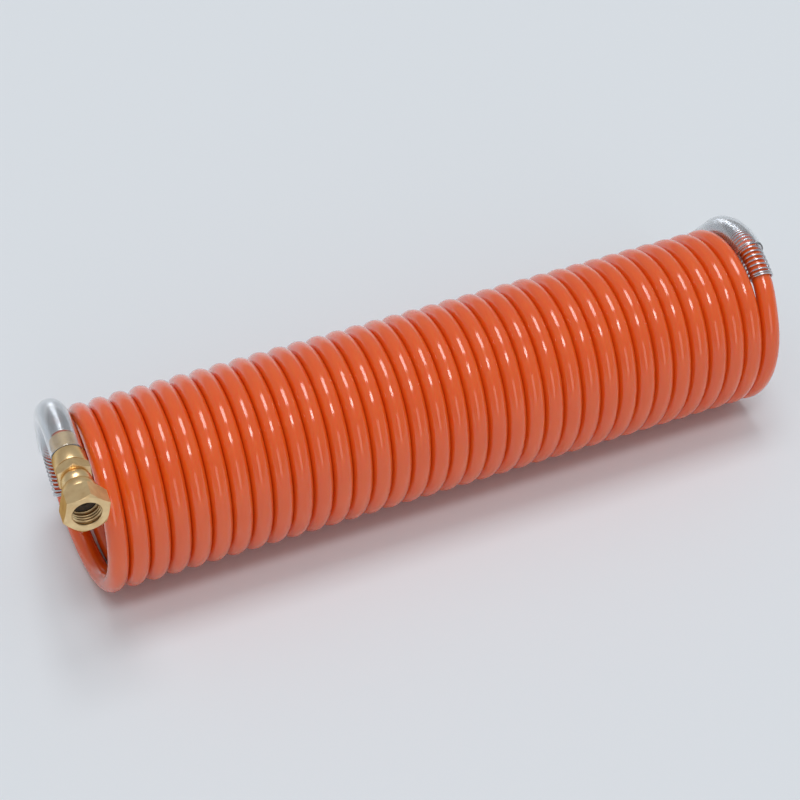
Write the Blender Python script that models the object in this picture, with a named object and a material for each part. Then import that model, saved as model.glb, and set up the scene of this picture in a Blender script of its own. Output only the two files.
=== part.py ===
"""Coiled polyamide air hose with a brass swivel fitting on each end.

The hose is wound as a left-handed helix that lies on its side along +X. Its two ends leave the
coil in a straight tangent and run into compression fittings with a free-turning hexagon nut.
A wire spring and a clear sleeve guard the hose behind each fitting. Metres, +Z up, front at -Y.
"""
import math
from typing import NamedTuple

import bmesh
import bpy
from mathutils import Matrix, Vector

MM = 0.001
TAU = 2.0 * math.pi

# Hose and coil
HOSE_DIAMETER = 8.0 * MM
HOSE_BORE = 6.0 * MM
COIL_DIAMETER = 78.0 * MM
TURN_GAP = 0.67 * MM
WHOLE_TURNS = 35
TURN_LEAN = 0.026
REST_FLAT_DEPTH = 0.1 * HOSE_DIAMETER
LEAST_TURN_GAP = 0.4 * MM

# How the two ends leave the coil
INLET_ANGLE = math.radians(0.7)
OUTLET_ANGLE = math.radians(51.0)
INLET_SHIFT_SPARE = 1.3 * MM
INLET_SHIFT_REACH = math.radians(330.0)
OUTLET_SHIFT_SPARE = 0.6 * MM
OUTLET_SHIFT_REACH = math.radians(240.0)
INLET_LIFT = 5.0 * MM
INLET_LIFT_REACH = math.radians(80.0)
OUTLET_LIFT = 1.4 * MM
OUTLET_LIFT_REACH = math.radians(110.0)
INLET_STRAIGHT = 5.4 * MM
OUTLET_FLOOR_GAP = 1.0 * MM

# Compression nut, measured from its rear face along the fitting
CLEARANCE = 0.3 * MM
BARREL_WALL = 1.2 * MM
BARREL_LENGTH = 9.8 * MM
TUBE_NUT_WALL = 1.1 * MM
TUBE_NUT_LENGTH = 17.0 * MM
TUBE_NUT_SHOULDER = 1.2 * MM
TUBE_NUT_CHAMFER = 0.5 * MM

# Stem
SPIGOT_WALL = 0.85 * MM
SPIGOT_CLEARANCE = 0.45 * MM
STEM_FLATS = 13.0 * MM
STEM_HEX_LENGTH = 4.6 * MM
STEM_HEX_TURN = math.radians(30.0)
STEM_BEAD_RADIUS = 6.2 * MM
STEM_BEAD_LENGTH = 5.3 * MM
BEAD_DEPTH = 1.3 * MM
STEM_NECK_RADIUS = 4.1 * MM
STEM_NOSE_CLEARANCE = 0.72 * MM
STEM_NOSE_LENGTH = 1.4 * MM
STEM_BORE_STEP = 0.1 * MM

# Support insert inside the hose, and the gripping ring round it
INSERT_LENGTH = 13.0 * MM
INSERT_WALL = 0.6 * MM
GRIP_RING_LENGTH = 1.8 * MM

# Swivel nut with a quarter inch pipe thread
NUT_FLATS = 17.0 * MM
NUT_HEX_LENGTH = 8.7 * MM
NUT_HEX_TURN = math.radians(15.0)
NUT_BOSS_RADIUS = 7.2 * MM
NUT_BOSS_LENGTH = 6.2 * MM
NUT_WALL = 3.0 * MM
NUT_HOLE_CLEARANCE = 0.6 * MM
THREAD_MINOR_RADIUS = 5.72 * MM
MOUTH_CHAMFER = 0.3 * MM
HEX_CHAMFER_SLOPE = math.tan(math.radians(30.0))

# Retaining ring, neck seal and face seal inside the swivel nut
RETAINING_RING_THICKNESS = 0.8 * MM
NUT_INSIDE_CLEARANCE = 0.42 * MM
RETAINING_RING_GAP = math.radians(40.0)
GROOVE_DEPTH = 0.9 * MM
NECK_SEAL_SECTION = 0.9 * MM
FACE_SEAL_THICKNESS = 1.2 * MM
FACE_SEAL_BORE_STEP = 0.3 * MM

# Guard behind each fitting
SLEEVE_CLEARANCE = 0.35 * MM
SLEEVE_WALL = 0.55 * MM
SLEEVE_LENGTH = 73.3 * MM
SLEEVE_OVERLAP = 9.3 * MM
SPRING_WIRE = 0.8 * MM
SPRING_CLEARANCE = 0.6 * MM
SPRING_TURNS = 17
SPRING_PITCH = 2.4 * MM
SPRING_END_PITCH = 1.6 * MM
INLET_SPRING_SHOWING = 22.5 * MM
OUTLET_SPRING_SHOWING = 13.5 * MM

# Fineness of the faceted shapes
POINTS_PER_TURN = 14
HOSE_SIDES = 6
GUARD_STEP = math.radians(10.0)
SLEEVE_SIDES = 16
SPRING_POINTS = 8
SPRING_SIDES = 4
ROUND_STEPS = 24
SMALL_ROUND_STEPS = 18
ROUTE_STEP = math.radians(3.0)
SHARP_ANGLE = math.radians(32.0)

# Worked out from the sizes above
TURN_PITCH = HOSE_DIAMETER + TURN_GAP
COIL_RADIUS = (COIL_DIAMETER - HOSE_DIAMETER) / 2.0
AXIS_HEIGHT = COIL_DIAMETER / 2.0 - REST_FLAT_DEPTH
LAST_ANGLE = WHOLE_TURNS * TAU + OUTLET_ANGLE
REST_ANGLE = (2 * (WHOLE_TURNS // 2) + 1) * math.pi
HOSE_HOLE_RADIUS = HOSE_DIAMETER / 2.0 + CLEARANCE
HOSE_INSERTION = TUBE_NUT_LENGTH - 2.0 * CLEARANCE
BARREL_RADIUS = HOSE_HOLE_RADIUS + BARREL_WALL
SPIGOT_RADIUS = HOSE_HOLE_RADIUS + SPIGOT_WALL
TUBE_NUT_BORE_RADIUS = SPIGOT_RADIUS + SPIGOT_CLEARANCE
TUBE_NUT_RADIUS = TUBE_NUT_BORE_RADIUS + TUBE_NUT_WALL
TUBE_NUT_SEAT = BARREL_LENGTH + TUBE_NUT_SHOULDER
GRIP_RING_START = TUBE_NUT_SEAT + CLEARANCE
SPIGOT_START = GRIP_RING_START + GRIP_RING_LENGTH + CLEARANCE
INSERT_BORE_RADIUS = HOSE_BORE / 2.0 - CLEARANCE - INSERT_WALL
STEM_BORE_RADIUS = INSERT_BORE_RADIUS + STEM_BORE_STEP
STEM_HEX_START = TUBE_NUT_LENGTH + CLEARANCE
STEM_BEAD_START = STEM_HEX_START + STEM_HEX_LENGTH
NUT_START = STEM_BEAD_START + STEM_BEAD_LENGTH + CLEARANCE
NUT_HEX_START = NUT_START + NUT_BOSS_LENGTH
NUT_SEAT = NUT_START + NUT_WALL
NUT_END = NUT_HEX_START + NUT_HEX_LENGTH
NUT_HOLE_RADIUS = STEM_NECK_RADIUS + NUT_HOLE_CLEARANCE
RETAINING_RING_START = NUT_SEAT + CLEARANCE
STEM_NOSE_START = RETAINING_RING_START + RETAINING_RING_THICKNESS + CLEARANCE
STEM_END = STEM_NOSE_START + STEM_NOSE_LENGTH
GROOVE_RADIUS = STEM_NECK_RADIUS - GROOVE_DEPTH
STEM_NOSE_RADIUS = THREAD_MINOR_RADIUS - STEM_NOSE_CLEARANCE
RETAINING_RING_RADIUS = THREAD_MINOR_RADIUS - NUT_INSIDE_CLEARANCE
FACE_SEAL_RADIUS = THREAD_MINOR_RADIUS - NUT_INSIDE_CLEARANCE
FACE_SEAL_BORE_RADIUS = STEM_BORE_RADIUS + FACE_SEAL_BORE_STEP
SLEEVE_RADIUS = BARREL_RADIUS + SLEEVE_CLEARANCE + SLEEVE_WALL
SPRING_RADIUS = (HOSE_DIAMETER + SPRING_WIRE) / 2.0 + SPRING_CLEARANCE
INLET_SHIFT = SLEEVE_RADIUS - HOSE_DIAMETER / 2.0 + INLET_SHIFT_SPARE
OUTLET_SHIFT = SLEEVE_RADIUS - HOSE_DIAMETER / 2.0 + OUTLET_SHIFT_SPARE
NUT_CORNER_RADIUS = NUT_FLATS / 2.0 / math.cos(math.pi / 6.0)
NUT_BEVEL = (NUT_CORNER_RADIUS - NUT_FLATS / 2.0) * HEX_CHAMFER_SLOPE
INLET_GUARD = SLEEVE_LENGTH - SLEEVE_OVERLAP + INLET_SPRING_SHOWING
OUTLET_GUARD = SLEEVE_LENGTH - SLEEVE_OVERLAP + OUTLET_SPRING_SHOWING


class Finish(NamedTuple):
    """Colour and gloss of one material."""

    colour: tuple
    roughness: float
    metallic: float
    alpha: float = 1.0


ORANGE_POLYAMIDE = Finish((0.80, 0.09, 0.012), 0.28, 0.0)
TURNED_BRASS = Finish((0.72, 0.50, 0.20), 0.25, 1.0)
SPRING_STEEL = Finish((0.62, 0.62, 0.63), 0.28, 1.0)
CLEAR_PLASTIC = Finish((0.80, 0.86, 0.92), 0.12, 0.0, 0.35)
BLACK_RUBBER = Finish((0.02, 0.02, 0.02), 0.6, 0.0)
GREY_FIBRE = Finish((0.22, 0.20, 0.18), 0.8, 0.0)


class HoseEnd(NamedTuple):
    """One end of the hose: where it leaves the coil, how far it runs on and is guarded."""

    name: str
    angle: float
    straight: float
    guard: float
    heading: int


def sloped_out(amount, away, reach):
    """Return an offset that starts at amount on a slope and dies out after reach."""
    share = min(away / reach, 1.0)
    return amount * (1.0 - share) ** 2


def level_out(amount, away, reach):
    """Return an offset that starts level at amount and dies out after reach."""
    share = min(away / reach, 1.0)
    return amount * (1.0 - share) ** 2 * (1.0 + 2.0 * share)


def coil_point(angle):
    """Return the hose centre at an angle counted from the top of the first turn to the back."""
    from_inlet = angle - INLET_ANGLE
    from_outlet = LAST_ANGLE - angle
    along = TURN_PITCH * (angle - REST_ANGLE) / TAU
    along -= sloped_out(INLET_SHIFT, from_inlet, INLET_SHIFT_REACH)
    along += sloped_out(OUTLET_SHIFT, from_outlet, OUTLET_SHIFT_REACH)
    radius = COIL_RADIUS + level_out(INLET_LIFT, from_inlet, INLET_LIFT_REACH)
    radius += level_out(OUTLET_LIFT, from_outlet, OUTLET_LIFT_REACH)
    rise = radius * math.cos(angle)
    lean = TURN_LEAN * (rise + COIL_RADIUS)
    return Vector((along + lean, radius * math.sin(angle), AXIS_HEIGHT + rise))


def leaving_direction(angle, heading):
    """Return the unit direction in which the hose leaves the coil at an angle."""
    inside = coil_point(angle - heading * ROUTE_STEP * 0.01)
    return (coil_point(angle) - inside).normalized()


def outlet_straight():
    """Return the straight run that brings the outlet nut's lowest corner just above the floor."""
    direction = leaving_direction(LAST_ANGLE, 1)
    drop = -direction.z
    corner_drop = NUT_CORNER_RADIUS * math.sqrt(1.0 - drop * drop)
    room = coil_point(LAST_ANGLE).z - corner_drop - OUTLET_FLOOR_GAP
    return room / drop - (NUT_END - NUT_BEVEL)


INLET = HoseEnd("inlet", INLET_ANGLE, INLET_STRAIGHT, INLET_GUARD, -1)
OUTLET = HoseEnd("outlet", LAST_ANGLE, outlet_straight(), OUTLET_GUARD, 1)


def end_direction(end):
    """Return the unit direction in which the hose leaves the coil at one end."""
    return leaving_direction(end.angle, end.heading)


def fitting_origin(end):
    """Return the point on the hose where the rear face of the compression nut lies."""
    return coil_point(end.angle) + end_direction(end) * end.straight


def hose_tip(end):
    """Return the centre of the cut end of the hose inside the fitting."""
    return fitting_origin(end) + end_direction(end) * HOSE_INSERTION


def guard_angle():
    """Return the angle of coil that the longest guard can cover."""
    return max(INLET_GUARD, OUTLET_GUARD) / COIL_RADIUS


def hose_angles():
    """Return the angles of the hose's rings: even turns, and finer under the two guards."""
    turn_step = TAU / POINTS_PER_TURN
    first_plain = INLET_ANGLE + guard_angle()
    last_plain = LAST_ANGLE - guard_angle()
    guard_steps = math.ceil(guard_angle() / GUARD_STEP)
    fine = [guard_angle() * i / guard_steps for i in range(guard_steps)]
    first = math.ceil((first_plain - math.pi) / turn_step)
    last = math.floor((last_plain - math.pi) / turn_step)
    plain = [math.pi + turn_step * i for i in range(first, last + 1)]
    return [INLET_ANGLE + a for a in fine] + plain + [LAST_ANGLE - a for a in reversed(fine)]


def hose_route(angles):
    """Return the hose's centre points through the given angles, with both straight ends."""
    return [hose_tip(INLET)] + [coil_point(a) for a in angles] + [hose_tip(OUTLET)]


def tangents(points):
    """Return the unit direction of a polyline at each of its points."""
    result = []
    for i in range(len(points)):
        before = points[max(i - 1, 0)]
        after = points[min(i + 1, len(points) - 1)]
        result.append((after - before).normalized())
    result[1] = (points[1] - points[0]).normalized()
    result[-2] = (points[-1] - points[-2]).normalized()
    return result


def ring_frame(tangent):
    """Return the outward and the sideways direction of a ring across the hose."""
    sideways = Vector((1.0, 0.0, 0.0))
    sideways = (sideways - tangent * sideways.dot(tangent)).normalized()
    return sideways.cross(tangent), sideways


class Route:
    """The hose's centre line as a fine polyline that is read by distance from one end."""

    def __init__(self, end):
        steps = round((LAST_ANGLE - INLET_ANGLE) / ROUTE_STEP)
        span = LAST_ANGLE - INLET_ANGLE
        points = hose_route([INLET_ANGLE + span * i / steps for i in range(steps + 1)])
        self.points = points if end is INLET else points[::-1]
        self.distances = [0.0]
        for near, far in zip(self.points, self.points[1:]):
            self.distances.append(self.distances[-1] + (far - near).length)

    def at(self, distance):
        """Return the point and the direction at a distance from the hose's tip."""
        index = 0
        while self.distances[index + 1] < distance:
            index += 1
        near, far = self.points[index], self.points[index + 1]
        share = (distance - self.distances[index]) / (far - near).length
        centre = near.lerp(far, share)
        coming = (near - self.points[max(index - 1, 0)]).normalized() if index else (far - near)
        going = (self.points[index + 2] - far).normalized()
        here = (far - near).normalized()
        entry = (coming.normalized() + here) / 2.0
        leaving = (here + going) / 2.0
        return centre, entry.lerp(leaving, share).normalized()


def clear_scene():
    """Remove every object of the scene."""
    for thing in list(bpy.data.objects):
        bpy.data.objects.remove(thing, do_unlink=True)


def add_material(name, finish):
    """Return a new Principled material with a finish's values."""
    material = bpy.data.materials.new(name)
    material.use_nodes = True
    shader = material.node_tree.nodes["Principled BSDF"]
    shader.inputs["Base Color"].default_value = (*finish.colour, 1.0)
    shader.inputs["Roughness"].default_value = finish.roughness
    shader.inputs["Metallic"].default_value = finish.metallic
    shader.inputs["Alpha"].default_value = finish.alpha
    return material


def add_object(name, mesh_builder, parent=None, finish=None):
    """Add a named object from a bmesh, shaded smooth, as a node or as a hidden cutter."""
    mesh = bpy.data.meshes.new(name)
    bmesh.ops.recalc_face_normals(mesh_builder, faces=mesh_builder.faces)
    mesh_builder.to_mesh(mesh)
    mesh_builder.free()
    thing = bpy.data.objects.new(name, mesh)
    bpy.context.scene.collection.objects.link(thing)
    thing.parent = parent
    if finish is None:
        thing.hide_render = True
        thing.display_type = "WIRE"
        return thing
    mesh.materials.append(add_material(name, finish))
    mesh.shade_smooth()
    mesh.set_sharp_from_angle(angle=SHARP_ANGLE)
    return thing


def cut(thing, cutter):
    """Cut one object out of another with a Boolean that stays on it."""
    modifier = thing.modifiers.new(cutter.name, "BOOLEAN")
    modifier.operation = "DIFFERENCE"
    modifier.solver = "EXACT"
    modifier.object = cutter


def add_ring(builder, centre, tangent, radius, sides):
    """Add one ring of points across a tube and return its vertices."""
    outward, sideways = ring_frame(tangent)
    ring = []
    for i in range(sides):
        turn = TAU * i / sides
        ring.append(builder.verts.new(centre + radius * (math.cos(turn) * outward + math.sin(turn) * sideways)))
    return ring


def bridge(builder, near, far):
    """Join two rings of equal count with quads."""
    count = len(near)
    for i in range(count):
        j = (i + 1) % count
        builder.faces.new((near[i], near[j], far[j], far[i]))


def solid_tube(points, radius, sides):
    """Return a bmesh of a closed round bar that follows the points."""
    builder = bmesh.new()
    rings = [add_ring(builder, c, t, radius, sides) for c, t in zip(points, tangents(points))]
    for near, far in zip(rings, rings[1:]):
        bridge(builder, near, far)
    builder.faces.new(rings[0])
    builder.faces.new(rings[-1])
    return builder


def turned(profile, steps=ROUND_STEPS, angle=TAU):
    """Return a bmesh turned round Z from a closed outline of (radius, height) points."""
    builder = bmesh.new()
    corners = [builder.verts.new((radius, 0.0, height)) for radius, height in profile]
    outline = builder.faces.new(corners)
    whole = angle >= TAU
    start = list(outline.edges) + corners if whole else [outline] + list(outline.edges) + corners
    if whole:
        builder.faces.remove(outline)
    bmesh.ops.spin(builder, geom=start, cent=(0.0, 0.0, 0.0), axis=(0.0, 0.0, 1.0),
                   dvec=(0.0, 0.0, 0.0), angle=angle, steps=steps, use_merge=whole)
    bmesh.ops.remove_doubles(builder, verts=builder.verts, dist=MM * 0.001)
    return builder


def hexagon_cutter(name, across_flats, bottom, top, turn, parent):
    """Return a hidden tube with a hexagon hole, which cuts six flats on what it meets."""
    corner = across_flats / 2.0 / math.cos(math.pi / 6.0)
    angles = [turn + TAU * i / 6 for i in range(6)]
    builder = bmesh.new()
    rings = {}
    for height in (bottom, top):
        for radius in (corner, 2.0 * corner):
            rings[height, radius] = [
                builder.verts.new((radius * math.cos(a), radius * math.sin(a), height)) for a in angles]
    loop = [rings[bottom, corner], rings[bottom, 2.0 * corner], rings[top, 2.0 * corner], rings[top, corner]]
    for near, far in zip(loop, loop[1:] + loop[:1]):
        bridge(builder, near, far)
    return add_object(name, builder, parent)


def add_axis(end):
    """Return an empty on a fitting's axis, with its +Z pointing out of the fitting."""
    direction = end_direction(end)
    sideways = ring_frame(direction)[1]
    turn = Matrix((sideways, direction.cross(sideways), direction)).transposed().to_4x4()
    axis = bpy.data.objects.new(end.name + "_axis", None)
    bpy.context.scene.collection.objects.link(axis)
    axis.matrix_world = Matrix.Translation(fitting_origin(end)) @ turn
    return axis


def build_hose():
    """Wind the hose and flatten it where it rests."""
    hose = add_object("hose", solid_tube(hose_route(hose_angles()), HOSE_DIAMETER / 2.0, HOSE_SIDES),
                      finish=ORANGE_POLYAMIDE)
    floor = bmesh.new()
    bmesh.ops.create_cube(floor, size=1.0)
    depth = HOSE_DIAMETER
    bmesh.ops.scale(floor, vec=(1.0, COIL_DIAMETER, depth), verts=floor.verts)
    bmesh.ops.translate(floor, vec=(0.0, 0.0, -depth / 2.0), verts=floor.verts)
    cut(hose, add_object("hose_rest_cutter", floor))
    return hose


def bore_hose(hose, end, axis):
    """Cut the bore that takes the support insert into one end of the hose."""
    bottom = HOSE_INSERTION - INSERT_LENGTH - CLEARANCE
    builder = bmesh.new()
    top = HOSE_INSERTION + CLEARANCE
    bmesh.ops.create_cone(builder, cap_ends=True, segments=ROUND_STEPS // 2, radius1=HOSE_BORE / 2.0,
                          radius2=HOSE_BORE / 2.0, depth=top - bottom)
    bmesh.ops.translate(builder, vec=(0.0, 0.0, (bottom + top) / 2.0), verts=builder.verts)
    cut(hose, add_object(end.name + "_bore_cutter", builder, axis))


def build_tube_nut(end, axis):
    """Make the compression nut: a barrel for the sleeve and a round collar over the spigot."""
    hole = HOSE_HOLE_RADIUS
    edge = TUBE_NUT_CHAMFER
    profile = [
        (hole, 0.0), (BARREL_RADIUS - edge, 0.0), (BARREL_RADIUS, edge), (BARREL_RADIUS, BARREL_LENGTH),
        (TUBE_NUT_RADIUS - edge, BARREL_LENGTH), (TUBE_NUT_RADIUS, BARREL_LENGTH + edge),
        (TUBE_NUT_RADIUS, TUBE_NUT_LENGTH - edge), (TUBE_NUT_RADIUS - edge, TUBE_NUT_LENGTH),
        (TUBE_NUT_BORE_RADIUS, TUBE_NUT_LENGTH), (TUBE_NUT_BORE_RADIUS, TUBE_NUT_SEAT),
        (hole, TUBE_NUT_SEAT - CLEARANCE),
    ]
    add_object(end.name + "_tube_nut", turned(profile), axis, TURNED_BRASS)


def build_grip_ring(end, axis):
    """Make the tapered ring that the compression nut squeezes on the hose."""
    inner = HOSE_HOLE_RADIUS
    outer = TUBE_NUT_BORE_RADIUS - CLEARANCE
    bottom = GRIP_RING_START
    top = bottom + GRIP_RING_LENGTH
    middle = (bottom + top) / 2.0
    taper = (outer - inner) / 2.0
    profile = [(inner, bottom), (inner + taper, bottom), (outer, middle), (inner + taper, top), (inner, top)]
    add_object(end.name + "_grip_ring", turned(profile, SMALL_ROUND_STEPS), axis, TURNED_BRASS)


def build_insert(end, axis):
    """Make the thin tube that supports the hose wall from inside."""
    outer = HOSE_BORE / 2.0 - CLEARANCE
    bottom = HOSE_INSERTION - INSERT_LENGTH
    profile = [(INSERT_BORE_RADIUS, bottom), (outer, bottom), (outer, HOSE_INSERTION),
               (INSERT_BORE_RADIUS, HOSE_INSERTION)]
    add_object(end.name + "_support_insert", turned(profile, ROUND_STEPS // 2), axis, TURNED_BRASS)


def bead_outline(radius, start, length):
    """Return the outline of a round bead as (radius, height) points."""
    angles = [math.radians(degrees) for degrees in (15, 40, 65, 90, 115, 140, 165)]
    return [(radius - BEAD_DEPTH * (1.0 - math.sin(a)), start + length / 2.0 * (1.0 - math.cos(a)))
            for a in angles]


def build_stem(end, axis):
    """Make the stem: spigot, hexagon, bead, grooved neck and sealing nose."""
    stop = HOSE_INSERTION + CLEARANCE
    corner = STEM_FLATS / 2.0 / math.cos(math.pi / 6.0)
    bevel = (corner - STEM_FLATS / 2.0) * HEX_CHAMFER_SLOPE
    bead_end = STEM_BEAD_START + STEM_BEAD_LENGTH
    seal = NECK_SEAL_SECTION + 2.0 * CLEARANCE
    seal_start = NUT_START + (NUT_SEAT - NUT_START - seal) / 2.0
    bead = bead_outline(STEM_BEAD_RADIUS, STEM_BEAD_START, STEM_BEAD_LENGTH)
    profile = [
        (STEM_BORE_RADIUS, stop), (HOSE_HOLE_RADIUS, stop), (HOSE_HOLE_RADIUS, SPIGOT_START),
        (SPIGOT_RADIUS, SPIGOT_START), (SPIGOT_RADIUS, STEM_HEX_START),
        (STEM_FLATS / 2.0, STEM_HEX_START), (corner, STEM_HEX_START + bevel),
        (corner, STEM_BEAD_START - bevel), (STEM_FLATS / 2.0, STEM_BEAD_START),
        *bead,
        (STEM_NECK_RADIUS, bead_end),
        (STEM_NECK_RADIUS, seal_start), (GROOVE_RADIUS, seal_start),
        (GROOVE_RADIUS, seal_start + seal), (STEM_NECK_RADIUS, seal_start + seal),
        (STEM_NECK_RADIUS, NUT_SEAT), (GROOVE_RADIUS, NUT_SEAT), (GROOVE_RADIUS, STEM_NOSE_START),
        (STEM_NOSE_RADIUS, STEM_NOSE_START), (STEM_NOSE_RADIUS, STEM_END), (STEM_BORE_RADIUS, STEM_END),
    ]
    stem = add_object(end.name + "_stem", turned(profile), axis, TURNED_BRASS)
    cut(stem, hexagon_cutter(end.name + "_stem_flats", STEM_FLATS, STEM_HEX_START - CLEARANCE,
                             STEM_BEAD_START, STEM_HEX_TURN, axis))


def build_swivel_nut(end, axis):
    """Make the hexagon nut: rear boss, chamfered hexagon and threaded mouth."""
    corner = NUT_CORNER_RADIUS
    face = NUT_FLATS / 2.0
    boss = bead_outline(NUT_BOSS_RADIUS, NUT_START, NUT_BOSS_LENGTH)
    profile = [
        (NUT_HOLE_RADIUS, NUT_START), *boss, (face, NUT_HEX_START), (corner, NUT_HEX_START + NUT_BEVEL),
        (corner, NUT_END - NUT_BEVEL), (face, NUT_END), (THREAD_MINOR_RADIUS + MOUTH_CHAMFER, NUT_END),
        (THREAD_MINOR_RADIUS, NUT_END - MOUTH_CHAMFER), (THREAD_MINOR_RADIUS, NUT_SEAT),
        (NUT_HOLE_RADIUS, NUT_SEAT),
    ]
    nut = add_object(end.name + "_swivel_nut", turned(profile), axis, TURNED_BRASS)
    cut(nut, hexagon_cutter(end.name + "_nut_flats", NUT_FLATS, NUT_HEX_START, NUT_END + CLEARANCE,
                            NUT_HEX_TURN, axis))


def build_nut_inside(end, axis):
    """Make the split retaining ring, the neck seal and the face seal inside the swivel nut."""
    bottom = RETAINING_RING_START
    top = bottom + RETAINING_RING_THICKNESS
    inner = GROOVE_RADIUS + CLEARANCE
    ring = [(inner, bottom), (RETAINING_RING_RADIUS, bottom), (RETAINING_RING_RADIUS, top), (inner, top)]
    add_object(end.name + "_retaining_ring", turned(ring, SMALL_ROUND_STEPS - 2, TAU - RETAINING_RING_GAP),
               axis, SPRING_STEEL)

    middle = (NUT_START + NUT_SEAT) / 2.0
    half = NECK_SEAL_SECTION / 2.0
    centre = GROOVE_RADIUS + CLEARANCE + half
    seal = [(centre + half * math.cos(TAU * i / 6), middle + half * math.sin(TAU * i / 6)) for i in range(6)]
    add_object(end.name + "_neck_seal", turned(seal, SMALL_ROUND_STEPS), axis, BLACK_RUBBER)

    bottom = STEM_END + CLEARANCE
    top = bottom + FACE_SEAL_THICKNESS
    washer = [(FACE_SEAL_BORE_RADIUS, bottom), (FACE_SEAL_RADIUS, bottom), (FACE_SEAL_RADIUS, top),
              (FACE_SEAL_BORE_RADIUS, top)]
    add_object(end.name + "_face_seal", turned(washer, SMALL_ROUND_STEPS), axis, GREY_FIBRE)


def build_sleeve(end, route):
    """Make the clear sleeve: a thin tube over the barrel and along the hose behind it."""
    start = HOSE_INSERTION - SLEEVE_OVERLAP
    straight_end = HOSE_INSERTION + end.straight
    stations = [start, straight_end]
    bent = start + SLEEVE_LENGTH - straight_end
    steps = max(1, math.ceil(bent / COIL_RADIUS / GUARD_STEP))
    stations += [straight_end + bent * (i + 1) / steps for i in range(steps)]
    builder = bmesh.new()
    walls = []
    for radius in (SLEEVE_RADIUS, SLEEVE_RADIUS - SLEEVE_WALL):
        walls.append([add_ring(builder, *route.at(d), radius, SLEEVE_SIDES) for d in stations])
    outer, inner = walls
    for wall in walls:
        for near, far in zip(wall, wall[1:]):
            bridge(builder, near, far)
    bridge(builder, outer[0], inner[0])
    bridge(builder, outer[-1], inner[-1])
    add_object(end.name + "_clear_sleeve", builder, finish=CLEAR_PLASTIC)


def build_spring(end, route):
    """Wind the guard spring round the hose, half of it under the sleeve, with a closed last turn."""
    tip = HOSE_INSERTION + end.guard
    points = []
    for i in range(SPRING_TURNS * SPRING_POINTS + 1):
        turns = i / SPRING_POINTS
        closed = max(0.0, 1.0 - turns)
        run = SPRING_END_PITCH * (1.0 - closed) + SPRING_PITCH * max(0.0, turns - 1.0)
        centre, tangent = route.at(tip - run)
        outward, sideways = ring_frame(tangent)
        angle = TAU * turns
        points.append(centre + SPRING_RADIUS * (math.cos(angle) * outward + math.sin(angle) * sideways))
    add_object(end.name + "_spring_guard", spring_wire(points), finish=SPRING_STEEL)
    print(end.name, "spring: least gap to itself",
          round(least_gap(points, SPRING_POINTS, SPRING_WIRE) / MM, 3), "mm")


def spring_wire(points):
    """Return a bmesh of the spring's wire, with its section turned along the winding."""
    builder = bmesh.new()
    rings = []
    for i, centre in enumerate(points):
        before = points[max(i - 1, 0)]
        after = points[min(i + 1, len(points) - 1)]
        along = (after - before).normalized()
        chord = points[max(i - 1, 0)] + points[min(i + 1, len(points) - 1)] - 2.0 * centre
        inward = chord - along * chord.dot(along) if 0 < i < len(points) - 1 else None
        rings.append((centre, along, inward))
    rings[0] = (*rings[0][:2], rings[1][2])
    rings[-1] = (*rings[-1][:2], rings[-2][2])
    loops = []
    for centre, along, inward in rings:
        inward = (inward - along * inward.dot(along)).normalized()
        across = along.cross(inward)
        loops.append([builder.verts.new(centre + SPRING_WIRE / 2.0 * (
            math.cos(TAU * i / SPRING_SIDES) * inward + math.sin(TAU * i / SPRING_SIDES) * across))
            for i in range(SPRING_SIDES)])
    for near, far in zip(loops, loops[1:]):
        bridge(builder, near, far)
    builder.faces.new(loops[0])
    builder.faces.new(loops[-1])
    return builder


def least_gap(points, per_turn, diameter):
    """Return the least clear distance between points of a winding that lie about a turn apart."""
    nearest = math.inf
    for i, point in enumerate(points):
        for j in range(i + per_turn // 2, min(i + 2 * per_turn, len(points))):
            nearest = min(nearest, (points[j] - point).length)
    return nearest - diameter


def build_end(end, hose):
    """Build one fitting and its guard."""
    axis = add_axis(end)
    bpy.context.view_layer.update()
    bore_hose(hose, end, axis)
    build_tube_nut(end, axis)
    build_grip_ring(end, axis)
    build_insert(end, axis)
    build_stem(end, axis)
    build_swivel_nut(end, axis)
    build_nut_inside(end, axis)
    route = Route(end)
    build_sleeve(end, route)
    build_spring(end, route)
    mouth = fitting_origin(end) + end_direction(end) * NUT_END
    print(end.name, "axis", [round(v, 6) for v in end_direction(end)],
          "mouth", [round(v, 6) for v in mouth])


def main():
    """Build the whole hose."""
    clear_scene()
    hose = build_hose()
    for end in (INLET, OUTLET):
        build_end(end, hose)
    fine = Route(INLET)
    gap = least_gap(fine.points, round(TAU / ROUTE_STEP), HOSE_DIAMETER)
    print("hose length", round(fine.distances[-1], 3), "m, least gap between turns", round(gap / MM, 3), "mm")
    if gap < LEAST_TURN_GAP:
        print("turns lie closer than", LEAST_TURN_GAP / MM, "mm")


main()
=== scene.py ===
"""Looks of the coiled air hose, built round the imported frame.

The hose, the two guard springs, the two clear sleeves and the brass fittings are modelled again, finer
than their CAD nodes and in the same place. Small inner parts keep their CAD shape and get a finish.
Metres, +Z up, front at -Y, in the frame of the CAD model.
"""
import logging
import math
from dataclasses import dataclass
from enum import Enum
from typing import Sequence

import bmesh
import bpy
import numpy as np
from mathutils import Matrix, Vector


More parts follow.
